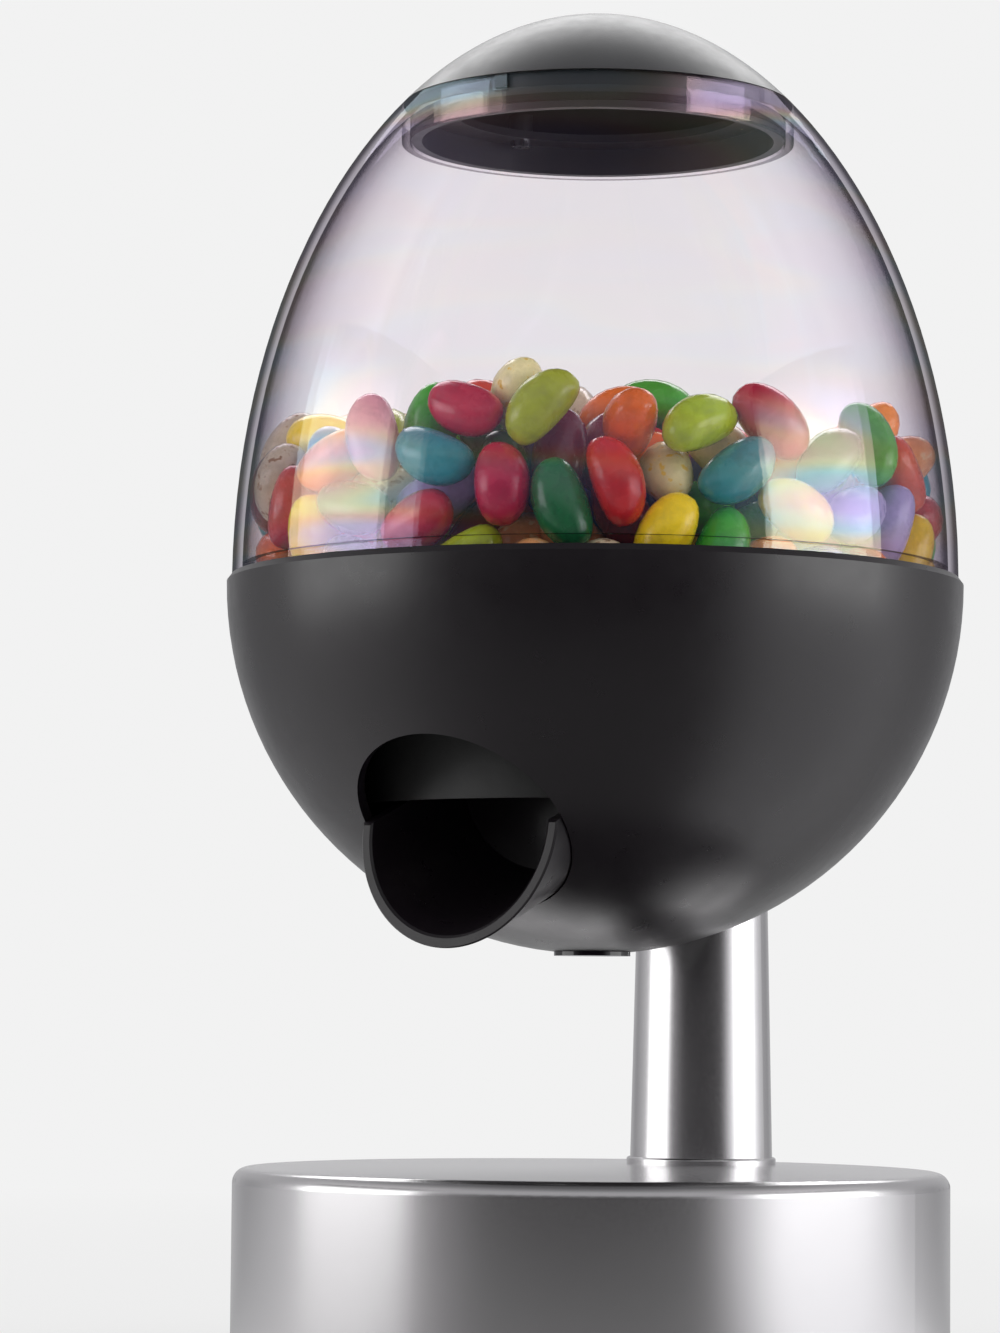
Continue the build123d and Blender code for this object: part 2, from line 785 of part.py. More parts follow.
with BuildPart() as drop_shield:
    with BuildSketch(side_at(shield_start)):
        shield_profile()
    revolve(axis=Axis.Z, revolution_arc=shield_sweep)
    drill(upward(at_level(shield_screw_places, shield_screw_seat)), small_head + seat_gap, shield_screw)
    drill(upward(at_level(shield_screw_places, shield_bottom)), small_shank + pin_gap, shield_screw)
save(drop_shield, "drop_shield")

with BuildPart() as shield_screws:
    sunk_screw = (small_head, sunk_head_height, small_shank)
    screws(downward(at_level(shield_screw_places, shield_screw_seat)), sunk_screw, shield_screw)
save(shield_screws, "shield_screws")

# Hood between the drop hole and the trough

hood_inner = pocket_ring - drop_radius - 0.7

with BuildPart() as drop_hood:
    with BuildSketch(side_at(-90 - hood_sweep / 2)):
        ring(hood_inner, hood_radius, hood_plate_bottom, deck_bottom)
        ring(hood_radius - hood_wall, hood_radius, hood_edge, hood_top)
    revolve(axis=Axis.Z, revolution_arc=hood_sweep)
    for end in (-1, 1):
        wall_plane = Plane(origin=(end * (hood_half_width - hood_wall / 2), 0, seam), z_dir=(1, 0, 0))
        with BuildSketch(Plane(wall_plane.origin, x_dir=(0, 1, 0), z_dir=(1, 0, 0))):
            wall_front = -sqrt((hood_radius - hood_wall / 2) ** 2 - hood_half_width**2)
            wall_back = wall_front + (hood_plate_bottom - hood_edge) / tan(radians(trough_slope))
            Polygon(
                (wall_front, hood_plate_bottom + 0.5),
                (wall_front, hood_edge),
                (wall_back, hood_plate_bottom),
                (wall_back, hood_plate_bottom + 0.5),
            )
        extrude(amount=hood_wall / 2, both=True)
    drill(downward([(0, -pocket_ring, seam + deck_bottom)]), drop_radius, 2)
    drill(upward(at_level(hood_screw_places, hood_plate_bottom)), small_shank + pin_gap, 2)
save(drop_hood, "drop_hood")

with BuildPart() as hood_screws:
    screws(upward(at_level(hood_screw_places, hood_plate_bottom)), small_screw, hood_screw)
save(hood_screws, "hood_screws")

# Outlet trough

trough_back = -(pocket_ring - drop_radius) + 0.2
back_wall = 1.6
ear_overlap = 0.9
ear_reach = 8.0
ear_width = 7.0
ear_thickness = 2.0
ear_underside = trough_ear_level - ear_thickness


def trough_outline(radius):
    """Half-round trough section with short upright arms."""
    Circle(radius)
    with Locations((0, radius / 2 + trough_arm)):
        Rectangle(2 * radius, radius, mode=Mode.SUBTRACT)
    with Locations((0, trough_arm)):
        Rectangle(2 * radius, trough_arm, align=(Align.CENTER, Align.MAX))


with BuildPart() as outlet_trough:
    with BuildSketch(lip_plane):
        trough_outline(trough_radius)
    extrude(amount=(lip_front + trough_back + back_wall) / slope_run, dir=inward)
    with BuildSketch(lip_plane):
        Circle(trough_radius - trough_wall)
        with Locations((0, trough_radius / 2)):
            Rectangle(2 * (trough_radius - trough_wall), trough_radius)
    extrude(amount=(lip_front + trough_back) / slope_run, dir=inward, mode=Mode.SUBTRACT)
    split(bisect_by=rim_cut, keep=Keep.BOTTOM)
    for end, (x, y) in zip((-1, 1), trough_ears):
        with Locations((end * (trough_radius - ear_overlap), y, seam + trough_ear_level)):
            Box(
                ear_reach,
                ear_width,
                ear_thickness,
                align=(Align.MIN if end > 0 else Align.MAX, Align.CENTER, Align.MAX),
            )
    drill(upward(at_level(trough_ears, ear_underside)), small_shank + pin_gap, ear_thickness)
    rim_face = outlet_trough.faces().sort_by(Axis(rim_cut.origin, rim_cut.z_dir))[-1]
    chamfer(rim_face.edges(), trough_edge)
save(outlet_trough, "outlet_trough")

with BuildPart() as trough_screws:
    screws(upward(at_level(trough_ears, ear_underside)), small_screw, short_screw)
save(trough_screws, "trough_screws")

# Portion wheel, agitator and rotor shaft

wheel_radius = well_radius - wheel_rim_gap
wheel_bottom = deck_top + 0.3
wheel_top = well_top - 0.2
wheel_edge = 0.6
agitator_radius = 13.0
agitator_top = -11.0
agitator_foot_radius = 9.0
agitator_crown_radius = 4.5
agitator_fins = 3
fin_width = 2.4
fin_share = 0.7
fin_taper = 6.0
shaft_grip = 7.0
shaft_bottom = upper_gear_bottom - 0.1

with BuildPart() as portion_wheel:
    with BuildSketch(level(wheel_bottom)):
        Circle(wheel_radius)
        Circle(rotor_shaft_radius + pin_gap, mode=Mode.SUBTRACT)
        with PolarLocations(pocket_ring, pocket_count, start_angle=-90):
            Circle(pocket_radius, mode=Mode.SUBTRACT)
            Rectangle(
                2 * pocket_radius, 2 * pocket_radius, align=(Align.MIN, Align.CENTER), mode=Mode.SUBTRACT
            )
    extrude(amount=wheel_top - wheel_bottom)
    chamfer(portion_wheel.edges().group_by(Axis.Z)[-1].filter_by(GeomType.CIRCLE), wheel_edge)
save(portion_wheel, "portion_wheel")

with BuildPart() as agitator:
    with BuildSketch(side):
        Polygon(
            (0, wheel_top),
            (agitator_foot_radius, wheel_top),
            (agitator_crown_radius, agitator_top),
            (0, agitator_top),
        )
    revolve(axis=Axis.Z)
    with BuildSketch(level(wheel_top)):
        with PolarLocations(0, agitator_fins, start_angle=30):
            Rectangle(agitator_radius, fin_width, align=(Align.MIN, Align.CENTER))
    extrude(amount=(agitator_top - wheel_top) * fin_share, taper=fin_taper)
    drill(upward([(0, 0, seam + wheel_top)]), rotor_shaft_radius + pin_gap, shaft_grip)
save(agitator, "agitator")

with BuildPart() as rotor_shaft:
    post(upward([(0, 0, seam + shaft_bottom)]), rotor_shaft_radius, wheel_top + shaft_grip - shaft_bottom)
save(rotor_shaft, "rotor_shaft")

with BuildPart() as shaft_bush:
    with BuildSketch(side):
        ring(rotor_shaft_radius + pin_gap, bush_radius, deck_bottom - bush_flange, deck_top)
        ring(rotor_shaft_radius + pin_gap, bush_radius + 1.5, deck_bottom - bush_flange, deck_bottom)
    revolve(axis=Axis.Z)
save(shaft_bush, "shaft_bush")

# Gears


def gear_outline(teeth, addendum, phase):
    """An involute gear outline with one tooth centred on the phase angle."""
    pitch = gear_module * teeth / 2
    base = pitch * cos(radians(pressure_angle))
    root = pitch - gear_dedendum
    tip = pitch + addendum
    half_tooth = (pi * gear_module / 2 - gear_backlash) / (2 * pitch)
    start = max(base, root)
    flank = [start + (tip - start) * share for share in (0, 0.3, 0.65, 1.0)]
    pitch_roll = tan(radians(pressure_angle)) - radians(pressure_angle)

    def half_angle(radius):
        roll = acos(min(1.0, base / radius))
        return half_tooth + pitch_roll - (tan(roll) - roll)

    side_points = [(root, half_angle(start))] + [(radius, half_angle(radius)) for radius in flank]
    points = []
    for tooth in range(teeth):
        centre = radians(phase) + 2 * pi * tooth / teeth
        points += [(r * cos(centre - a), r * sin(centre - a)) for r, a in side_points]
        points += [(r * cos(centre + a), r * sin(centre + a)) for r, a in reversed(side_points)]
    Polygon(*dict.fromkeys(points))


gear_holes = 6
output_hole_ring = 8.6
output_hole_radius = 2.6
idler_hole_ring = 14.5
idler_hole_radius = 4.4
idler_centre = drive_place(idler_distance)
motor_centre = drive_place(motor_distance)

with BuildPart() as output_gear:
    with BuildSketch(level(upper_gear_bottom)):
        gear_outline(output_teeth, wheel_addendum, drive_angle)
        Circle(rotor_shaft_radius + pin_gap, mode=Mode.SUBTRACT)
        with PolarLocations(output_hole_ring, gear_holes):
            Circle(output_hole_radius, mode=Mode.SUBTRACT)
    extrude(amount=gear_face)
save(output_gear, "output_gear")

with BuildPart() as idler_gear:
    with BuildSketch(level(lower_gear_bottom)):
        with Locations(idler_centre):
            gear_outline(big_idler_teeth, wheel_addendum, drive_angle)
            Circle(idler_pin_radius + pin_gap, mode=Mode.SUBTRACT)
            with PolarLocations(idler_hole_ring, gear_holes):
                Circle(idler_hole_radius, mode=Mode.SUBTRACT)
    extrude(amount=gear_face)
    with BuildSketch(level(lower_gear_top)):
        with Locations(idler_centre):
            gear_outline(small_idler_teeth, pinion_addendum, drive_angle + 180 + 180 / small_idler_teeth)
            Circle(idler_pin_radius + pin_gap, mode=Mode.SUBTRACT)
    extrude(amount=upper_gear_top - lower_gear_top)
save(idler_gear, "idler_gear")

pin_bottom = cover_top - cover_thickness / 2
pin_top = deck_bottom + funnel_wall / 2
with BuildPart() as idler_pin:
    post(upward([(*idler_centre, seam + pin_bottom)]), idler_pin_radius, pin_top - pin_bottom)
save(idler_pin, "idler_pin")

with BuildPart() as motor_pinion:
    with BuildSketch(level(lower_gear_bottom)):
        with Locations(motor_centre):
            gear_outline(pinion_teeth, pinion_addendum, drive_angle + 180 + 180 / pinion_teeth)
            Circle(motor_shaft_radius + pin_gap, mode=Mode.SUBTRACT)
    extrude(amount=gear_face)
save(motor_pinion, "motor_pinion")

# Motor, its plate and the gear cover

motor_bottom = motor_plate_top
motor_top = motor_bottom + motor_length
motor_screw_seats = [drive_place(motor_distance + 6.0 * end) for end in (-1, 1)]

with BuildPart() as motor_body:
    post(upward([(*motor_centre, seam + motor_bottom)]), motor_radius, motor_length)
    chamfer(motor_body.edges().filter_by(GeomType.CIRCLE).sort_by(Axis.Z)[-1], 0.8)
    post(upward([(*motor_centre, seam + motor_top - 0.1)]), 3.2, 1.0)
    drill(upward([(*motor_centre, seam + motor_bottom)]), motor_shaft_radius + pin_gap, motor_length * 0.7)
    drill(upward(at_level(motor_screw_seats, motor_bottom)), small_shank + pin_gap, 3)
save(motor_body, "motor_body")

with BuildPart() as motor_shaft:
    post(
        upward([(*motor_centre, seam + lower_gear_bottom)]),
        motor_shaft_radius,
        motor_bottom - lower_gear_bottom + motor_length * 0.6,
    )
save(motor_shaft, "motor_shaft")

with BuildPart() as motor_plate:
    with BuildSketch(level(motor_plate_top - motor_plate_thickness)):
        with BuildLine():
            for place, radius in [(motor_centre, motor_radius)] + [(place, 3.4) for place in motor_posts]:
                CenterArc(place, radius, 0, 360)
        make_hull()
        with Locations(motor_centre):
            Circle(3.0, mode=Mode.SUBTRACT)
    extrude(amount=motor_plate_thickness)
    plate_seats = at_level(motor_posts + motor_screw_seats, motor_plate_top - motor_plate_thickness)
    drill(upward(plate_seats), small_shank + pin_gap, motor_plate_thickness)
save(motor_plate, "motor_plate")

with BuildPart() as motor_plate_screws:
    screws(upward(at_level(motor_posts, motor_plate_top - motor_plate_thickness)), small_screw, board_screw)
save(motor_plate_screws, "motor_plate_screws")

with BuildPart() as gear_cover:
    with BuildSketch(level(cover_top - cover_thickness)):
        with BuildLine():
            for place in cover_posts + [drive_place(motor_distance - 3.5)]:
                CenterArc(place, 4.0, 0, 360)
        make_hull()
        with Locations(stem_place):
            Circle(stem_boss_radius + running_gap, mode=Mode.SUBTRACT)
    extrude(amount=cover_thickness)
    drill(upward(at_level(cover_posts, cover_top - cover_thickness)), small_shank + pin_gap, cover_thickness)
    drill(upward([(*idler_centre, seam + pin_bottom)]), idler_pin_radius + pin_gap, cover_thickness)
save(gear_cover, "gear_cover")

with BuildPart() as gear_cover_screws:
    screws(upward(at_level(cover_posts, cover_top - cover_thickness)), small_screw, cover_screw)
save(gear_cover_screws, "gear_cover_screws")

# Main board behind the well, and the lead through the column

main_board_bottom = hood_plate_bottom - 0.7
board_back = board_face + board_thickness

with BuildPart() as main_board:
    with Locations((0, board_face, seam + main_board_bottom)):
        Box(
            main_board_width,
            board_thickness,
            main_board_height,
            align=(Align.CENTER, Align.MIN, Align.MIN),
        )
    with Locations(*[Plane(origin=(x, board_face, seam + z), z_dir=(0, 1, 0)) for x, z in board_posts]):
        Cylinder(
            small_shank + pin_gap,
            board_thickness,
            align=(Align.CENTER, Align.CENTER, Align.MIN),
            mode=Mode.SUBTRACT,
        )
save(main_board, "main_board")

with BuildPart() as main_board_screws:
    screw_planes = [Plane(origin=(x, board_back, seam + z), z_dir=(0, -1, 0)) for x, z in board_posts]
    screws(screw_planes, small_screw, short_screw)
save(main_board_screws, "main_board_screws")

with BuildPart() as board_components:
    with Locations((7.0, board_back, seam + main_board_bottom + 5.5)):
        Box(5.0, 1.2, 4.0, align=(Align.CENTER, Align.MIN, Align.CENTER))
    with Locations(Plane(origin=(-7.5, board_back, seam + main_board_bottom + 4.0), z_dir=(0, 1, 0))):
        Cylinder(2.0, 5.0, align=(Align.CENTER, Align.CENTER, Align.MIN))
    with Locations((0, board_back, seam + main_board_bottom + 11.0)):
        Box(6.0, 1.0, 3.0, align=(Align.CENTER, Align.MIN, Align.CENTER))
save(board_components, "board_components")

with BuildPart() as lead_connectors:
    with Locations((0, stem_offset, board_top)):
        Box(
            connector_width,
            connector_depth,
            connector_height,
            align=(Align.CENTER, Align.CENTER, Align.MIN),
        )
    with Locations((0, board_back, seam + main_board_bottom)):
        Box(
            connector_width,
            stem_offset - board_back + connector_depth / 2,
            connector_height,
            align=(Align.CENTER, Align.MIN, Align.MIN),
        )
    fillet(lead_connectors.edges().filter_by(Axis.Z), 0.6)
save(lead_connectors, "lead_connectors")

lead_bottom = board_top + connector_height
with BuildPart() as supply_lead:
    with Locations((0, stem_offset, lead_bottom)):
        with GridLocations(wire_spacing, wire_spacing, 2, 2):
            Cylinder(
                wire_radius,
                seam + main_board_bottom - lead_bottom,
                align=(Align.CENTER, Align.CENTER, Align.MIN),
            )
save(supply_lead, "supply_lead")

# Clear dome with its spigot, inner step and collar

spigot_outer = bowl_inner - 0.6
spigot_inner = spigot_outer - spigot_wall
rim_radius = ellipse_radius(dome_radius, dome_rise, lid_edge)
neck_radius = rim_radius - neck_wall
plug_radius = neck_radius - running_gap
lug_angles = (-90, 0, 90, 180)

with BuildPart() as clear_dome:
    with BuildSketch(side):
        Ellipse(dome_radius, dome_rise)
        Ellipse(dome_inner, dome_inner_rise, mode=Mode.SUBTRACT)
        ring(0, bowl_radius, lip_rise, lid_edge, mode=Mode.INTERSECT)
        ring(0, neck_radius, lid_edge - neck_depth, lid_edge, mode=Mode.SUBTRACT)
        ring(spigot_inner, spigot_outer, flange_bottom + flange_thickness + 0.2, lip_rise + 2.0)
        ring(spigot_inner, dome_inner + 0.5, lip_rise, lip_rise + 2.0)
        ring(neck_radius, rim_radius, lid_edge - neck_depth, lid_edge)
    revolve(axis=Axis.Z)
    with Locations((0, 0, seam + lid_edge)):
        with PolarLocations(neck_radius, len(lug_angles)):
            Box(
                2 * (lug_reach - 0.1),
                lug_width + 2 * 0.3,
                2 * (lug_height + 0.3),
                mode=Mode.SUBTRACT,
            )
save(clear_dome, "clear_dome")

# Lid

lid_bottom = lid_edge + 0.3
lid_screw_ring = 31.0
lid_screw_angles = (30, 150, 270)
lid_boss_radius = 2.4
lid_boss_height = 3.6
plug_flange = 1.6

with BuildPart() as lid_cap:
    with BuildSketch(side):
        Ellipse(dome_radius, dome_rise)
        Ellipse(dome_radius - lid_wall, dome_rise - lid_wall, mode=Mode.SUBTRACT)
        ring(0, bowl_radius, lid_bottom, dome_rise + 1, mode=Mode.INTERSECT)
    revolve(axis=Axis.Z)
    lid_boss_places = upward(around(lid_screw_ring, lid_screw_angles, seam + lid_bottom))
    post(lid_boss_places, lid_boss_radius, lid_boss_height)
    drill(lid_boss_places, small_shank + pin_gap, lid_boss_height - 1)
save(lid_cap, "lid_cap")

with BuildPart() as lid_plug:
    with BuildSketch(side):
        ring(plug_radius - plug_wall, plug_radius, lid_edge - plug_depth, lid_bottom)
        ring(lid_screw_ring - 3, plug_radius, lid_bottom - plug_flange, lid_bottom)
        gasket_low = lid_edge - plug_depth + 1.4
        ring(plug_radius - 0.6, plug_radius + 1, gasket_low, gasket_low + gasket_height, mode=Mode.SUBTRACT)
    revolve(axis=Axis.Z)
    with Locations((0, 0, seam + lid_bottom)):
        with PolarLocations(plug_radius - 0.5, len(lug_angles)):
            Box(
                lug_reach + 0.5,
                lug_width,
                lug_height,
                align=(Align.MIN, Align.CENTER, Align.MAX),
            )
    drill(
        upward(around(lid_screw_ring, lid_screw_angles, seam + lid_bottom - plug_flange)),
        small_shank + pin_gap,
        plug_flange,
    )
save(lid_plug, "lid_plug")

with BuildPart() as lid_gasket:
    with BuildSketch(side):
        gasket_top = gasket_low + gasket_height - pin_gap
        ring(plug_radius - 0.55, plug_radius + 0.15, gasket_low + pin_gap, gasket_top)
    revolve(axis=Axis.Z)
save(lid_gasket, "lid_gasket")

with BuildPart() as lid_screws:
    lid_screw_seats = around(lid_screw_ring, lid_screw_angles, seam + lid_bottom - plug_flange)
    screws(upward(lid_screw_seats), small_screw, lid_screw)
save(lid_screws, "lid_screws")

# Jelly beans, settled in the hopper. Three balls along each bean keep it apart from the others.

bean_radius = bean_width / 2
rod_half = bean_length / 2 - bean_radius
ball_shares = (0.0, 0.5, 1.0)
drop_steps = 260
rest_steps = 160
drop_step = 0.9
rest_step = 0.02
heap_draw = 0.009


def keep_in_hopper(balls):
    """Moves ball centres back inside the dome and off the funnel, the drop shield and the agitator."""
    room = bean_radius + candy_gap
    reach = np.hypot(balls[:, 0], balls[:, 1]) + 1e-9
    rise = np.clip(balls[:, 2] / (dome_inner_rise - room), 0, 0.99)
    limit = (dome_inner - room) * np.sqrt(1 - rise**2)
    limit = np.where(balls[:, 2] < room, np.minimum(limit, spigot_inner - room), limit)
    shrink = np.minimum(1, limit / reach)
    balls[:, :2] *= shrink[:, None]
    reach = reach * shrink
    floor = cone_height(np.maximum(reach, well_radius)) + room / cos(atan(cone_slope))
    balls[:, 2] = np.maximum(balls[:, 2], floor)
    over_agitator = reach < agitator_radius + room
    balls[over_agitator, 2] = np.maximum(balls[over_agitator, 2], agitator_top + room)
    beside = np.degrees(room / reach)
    turn = np.degrees(np.arctan2(balls[:, 1], balls[:, 0])) - shield_start + beside
    over_shield = (turn % 360 < shield_sweep + 2 * beside) & (reach < shield_foot + room)
    balls[over_shield, 2] = np.maximum(balls[over_shield, 2], shield_crown + room)


def close_pairs(balls, owner):
    """Pairs of balls of different beans that may touch soon."""
    square = (balls**2).sum(1)
    apart = square[:, None] + square[None, :] - 2 * balls @ balls.T
    first, second = np.nonzero(np.triu(apart < (1.4 * bean_width) ** 2, 1))
    strangers = owner[first] != owner[second]
    return first[strangers], second[strangers]


def settle(seed):
    """The two end centres of each bean, after the beans have dropped and pushed one another apart."""
    chance = np.random.default_rng(seed)
    spot = (dome_inner - bean_length) * np.sqrt(chance.random(bean_count))
    turn = 2 * pi * chance.random(bean_count)
    height = dome_rise * chance.random(bean_count) * 0.8
    middle = np.stack([spot * np.cos(turn), spot * np.sin(turn), height], 1)
    aim = chance.normal(size=(bean_count, 3))
    aim *= rod_half / np.linalg.norm(aim, axis=1, keepdims=True)
    low = middle - aim
    high = middle + aim
    owner = np.tile(np.arange(bean_count), len(ball_shares))
    for step in range(drop_steps + rest_steps):
        fall = drop_step if step < drop_steps else rest_step
        drift = np.column_stack([(low + high)[:, :2] * heap_draw / 2, np.ones(bean_count)]) * fall
        low -= drift
        high -= drift
        for sweep in range(4):
            balls = np.concatenate([low + share * (high - low) for share in ball_shares])
            if step % 5 == 0 and sweep == 0:
                first, second = close_pairs(balls, owner)
            apart = balls[first] - balls[second]
            distance = np.linalg.norm(apart, axis=1) + 1e-9
            overlap = np.clip(bean_width - distance, 0, None)
            push = apart * (overlap / distance / 2)[:, None]
            shift = np.zeros_like(balls)
            np.add.at(shift, first, push)
            np.add.at(shift, second, -push)
            touches = sum(np.bincount(side_of, overlap > 0, len(balls)) for side_of in (first, second))
            shift *= (1.5 / np.maximum(touches, 1.5))[:, None]
            for share, moved in zip(ball_shares, np.split(shift, len(ball_shares))):
                weight = (1 - share) ** 2 + share**2
                low += moved * (1 - share) / weight
                high += moved * share / weight
            keep_in_hopper(low)
            keep_in_hopper(high)
            rod = high - low
            excess = 0.5 - rod_half / (np.linalg.norm(rod, axis=1, keepdims=True) + 1e-9)
            low += rod * excess
            high -= rod * excess
    return low, high


bean_low, bean_high = settle(seed=7)

with BuildPart() as bean:
    with BuildSketch(Plane.XZ):
        Polygon(
            (bean_length / 2 - 2 * bean_gap, 0),
            (bean_length / 2 - 2 * bean_gap, bean_radius * 0.4),
            (bean_length / 2 - bean_radius * 0.5, bean_radius * 0.84),
            (bean_radius * 0.45, bean_radius - bean_gap),
            (-bean_radius * 0.45, bean_radius - bean_gap),
            (bean_radius * 0.5 - bean_length / 2, bean_radius * 0.84),
            (2 * bean_gap - bean_length / 2, bean_radius * 0.4),
            (2 * bean_gap - bean_length / 2, 0),
        )
    revolve(axis=Axis.X)

bean_solids = []
for low, high in zip(bean_low, bean_high):
    middle = (low + high) / 2
    along = Plane(origin=(middle[0], middle[1], middle[2] + seam), z_dir=tuple(high - low))
    bean_solids.append(bean.part.solid().moved(along.location * Rot(0, 90, 0)))

candy_fill = Compound(bean_solids)
candy_fill.label = "candy_fill"
export_step(candy_fill, "parts/candy_fill.step")
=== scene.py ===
import json
from math import cos, pi, radians, sin

import bmesh
import bpy
import numpy as np
from mathutils import Euler, Matrix, Vector


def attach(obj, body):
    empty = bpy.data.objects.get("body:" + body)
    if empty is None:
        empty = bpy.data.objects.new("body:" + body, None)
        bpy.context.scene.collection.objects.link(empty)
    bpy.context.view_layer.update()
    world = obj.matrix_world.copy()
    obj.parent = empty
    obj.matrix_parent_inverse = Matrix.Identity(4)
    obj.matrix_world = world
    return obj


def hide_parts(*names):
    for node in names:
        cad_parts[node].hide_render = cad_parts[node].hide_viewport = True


# Looks of a touch-free candy dispenser: a clear dome of jelly beans on a satin black bowl with a spout,
# carried by a polished column on a polished drum. Metres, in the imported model's own frame. Azimuths are in
# degrees from the front (-Y) towards +X.

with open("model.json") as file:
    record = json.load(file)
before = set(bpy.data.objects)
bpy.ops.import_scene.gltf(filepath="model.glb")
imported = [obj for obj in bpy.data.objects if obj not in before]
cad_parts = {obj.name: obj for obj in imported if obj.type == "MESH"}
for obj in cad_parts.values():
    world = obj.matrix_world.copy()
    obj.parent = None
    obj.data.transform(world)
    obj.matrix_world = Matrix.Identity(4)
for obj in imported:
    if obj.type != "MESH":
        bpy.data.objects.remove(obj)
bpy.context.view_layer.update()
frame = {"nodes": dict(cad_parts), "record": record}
nodes = frame["nodes"]


# Camera, at the photograph's viewing angle

IMAGE_HEIGHT = 1333
FOCAL_PIXELS = 4600
SENSOR_SIZE = 36
EYE_DISTANCE = 0.9044
EYE_HEIGHT = 0.0701
EYE_AZIMUTH = 29.5
EYE_PITCH = 4.32
EYE_TURN = 1.175
EYE_ROLL = 0.48


def build_camera():
    """A camera that sees the dispenser as the photograph does."""
    data = bpy.data.cameras.new("camera")
    data.sensor_width = SENSOR_SIZE
    data.lens = FOCAL_PIXELS * SENSOR_SIZE / IMAGE_HEIGHT
    camera = bpy.data.objects.new("camera", data)
    bpy.context.scene.collection.objects.link(camera)
    azimuth = radians(EYE_AZIMUTH)
    camera.location = (EYE_DISTANCE * sin(azimuth), -EYE_DISTANCE * cos(azimuth), EYE_HEIGHT)
    aim = Euler((pi / 2 + radians(EYE_PITCH), 0, azimuth + radians(EYE_TURN)), "XYZ").to_matrix()
    camera.rotation_euler = (aim @ Matrix.Rotation(radians(EYE_ROLL), 3, "Z")).to_euler()
    bpy.context.scene.camera = camera


# Node helpers

USUAL_NOISE = (0.3, 0.7)
FULL_RANGE = (0, 1)


def new_material(name):
    """A node material with a Principled shader on its output."""
    material = bpy.data.materials.new(name)
    material.use_nodes = True
    tree = material.node_tree
    shader = tree.nodes["Principled BSDF"]
    return material, tree, shader


def node(tree, kind, **settings):
    """A new node, with its inputs or its own settings set by name."""
    made = tree.nodes.new(kind)
    for key, value in settings.items():
        if key in made.inputs:
            made.inputs[key].default_value = value
        else:
            setattr(made, key, value)
    return made


def maths(tree, operation, *values):
    """A Math node's result from numbers and outputs."""
    made = node(tree, "ShaderNodeMath", operation=operation)
    for socket, value in zip(made.inputs, values):
        if isinstance(value, (int, float)):
            socket.default_value = value
        else:
            tree.links.new(value, socket)
    return made.outputs["Value"]


def coordinates(tree, stretch=(1, 1, 1)):
    """Object coordinates in metres, stretched along the axes."""
    place = node(tree, "ShaderNodeTexCoord")
    mapping = node(tree, "ShaderNodeMapping")
    mapping.inputs["Scale"].default_value = stretch
    tree.links.new(place.outputs["Object"], mapping.inputs["Vector"])
    return mapping.outputs["Vector"]


def noise(tree, scale, detail=3.0, roughness=0.55, stretch=(1, 1, 1)):
    texture = node(tree, "ShaderNodeTexNoise", Scale=scale, Detail=detail, Roughness=roughness)
    tree.links.new(coordinates(tree, stretch), texture.inputs["Vector"])
    return texture.outputs["Fac"]


def ramp(tree, factor, stops):
    """A colour ramp: stops are (position, colour) pairs."""
    made = node(tree, "ShaderNodeValToRGB")
    elements = made.color_ramp.elements
    while len(elements) < len(stops):
        elements.new(0.5)
    for element, (position, colour) in zip(elements, stops):
        element.position = position
        element.color = (*colour, 1)
    tree.links.new(factor, made.inputs["Fac"])
    return made.outputs["Color"]


def spread(tree, factor, low, high, source=USUAL_NOISE, smooth=False):
    """The factor mapped from its source range to low..high."""
    made = node(tree, "ShaderNodeMapRange", interpolation_type="SMOOTHSTEP" if smooth else "LINEAR")
    made.inputs["From Min"].default_value = source[0]
    made.inputs["From Max"].default_value = source[1]
    made.inputs["To Min"].default_value = low
    made.inputs["To Max"].default_value = high
    tree.links.new(factor, made.inputs["Value"])
    return made.outputs["Result"]


def colour_sockets(sockets):
    """The colour sockets of a Mix node, which has sockets of the same name for each type."""
    return [socket for socket in sockets if socket.type == "RGBA"]


def between(tree, factor, first, second, blend="MIX"):
    """A colour between two others, each a colour or an output, by a factor."""
    made = node(tree, "ShaderNodeMix", data_type="RGBA", blend_type=blend)
    tree.links.new(factor, made.inputs["Factor"])
    for socket, colour in zip(colour_sockets(made.inputs), (first, second)):
        if isinstance(colour, tuple):
            socket.default_value = (*colour, 1)
        else:
            tree.links.new(colour, socket)
    return colour_sockets(made.outputs)[0]


def mix_shaders(tree, factor, first, second):
    mix = node(tree, "ShaderNodeMixShader")
    tree.links.new(factor, mix.inputs["Fac"])
    tree.links.new(first, mix.inputs[1])
    tree.links.new(second, mix.inputs[2])
    return mix.outputs["Shader"]


def bump(tree, shader, height, depth, strength=1.0):
    made = node(tree, "ShaderNodeBump", Strength=strength, Distance=depth)
    tree.links.new(height, made.inputs["Height"])
    tree.links.new(made.outputs["Normal"], shader.inputs["Normal"])


def tint(colour, factor):
    return tuple(min(1.0, channel * factor) for channel in colour)


def clouded(tree, scale, detail, colour, variation):
    """The colour with soft clouds, darker and lighter by the variation."""
    cloud = noise(tree, scale, detail=detail)
    low, high = USUAL_NOISE
    return ramp(tree, cloud, [(low, tint(colour, 1 - variation)), (high, tint(colour, 1 + variation))])


# Materials. Noise scales are per metre and bump depths are in metres.

PLASTIC_CLOUD_SCALE = 45
HANDLING_SCALE = 160
METAL_CLOUD_SCALE = 40
METAL_VARIATION = 0.02

